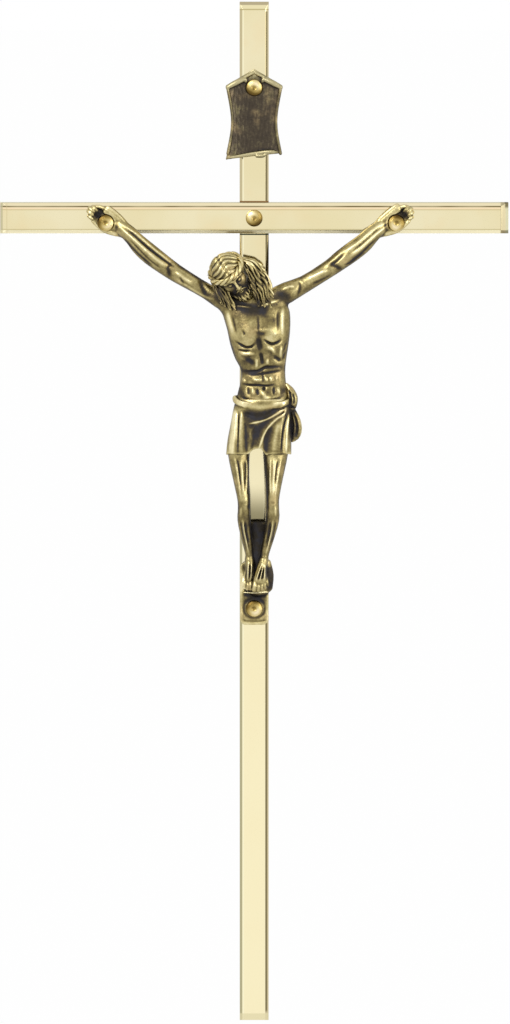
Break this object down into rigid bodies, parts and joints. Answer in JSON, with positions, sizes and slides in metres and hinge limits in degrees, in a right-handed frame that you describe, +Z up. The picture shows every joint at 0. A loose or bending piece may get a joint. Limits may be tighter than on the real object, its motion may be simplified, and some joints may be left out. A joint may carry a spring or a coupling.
{
  "type": "wall crucifix",
  "caption": "Slim brass wall crucifix: bevelled crossed bars, a cast antiqued figure riveted on by its hands and its foot bracket, and a bare riveted scroll above it.",
  "frame": {"origin": "centre of the mouth of the hanging hole, on the back of the upright", "axes": "+Z up along the upright, the figure looks along -Y, the wall is the plane y = 0"},
  "size_m": [0.126, 0.0185, 0.254],
  "materials": {
    "polished_brass": "pale polished brass, lightly mottled",
    "antique_brass": "cast brass, dark in the recesses and rubbed bright on the ridges",
    "dark_bronze": "brass with a dark patina, worn pale along its edges",
    "rivet_brass": "polished yellow brass"
  },
  "bodies": {
    "root": {"upright": "polished_brass", "crossbar": "polished_brass", "corpus": "antique_brass", "scroll": "dark_bronze", "crossing_rivet": "rivet_brass", "scroll_rivet": "rivet_brass", "right_hand_rivet": "rivet_brass", "left_hand_rivet": "rivet_brass", "foot_rivet": "rivet_brass"}
  },
  "joints": []
}
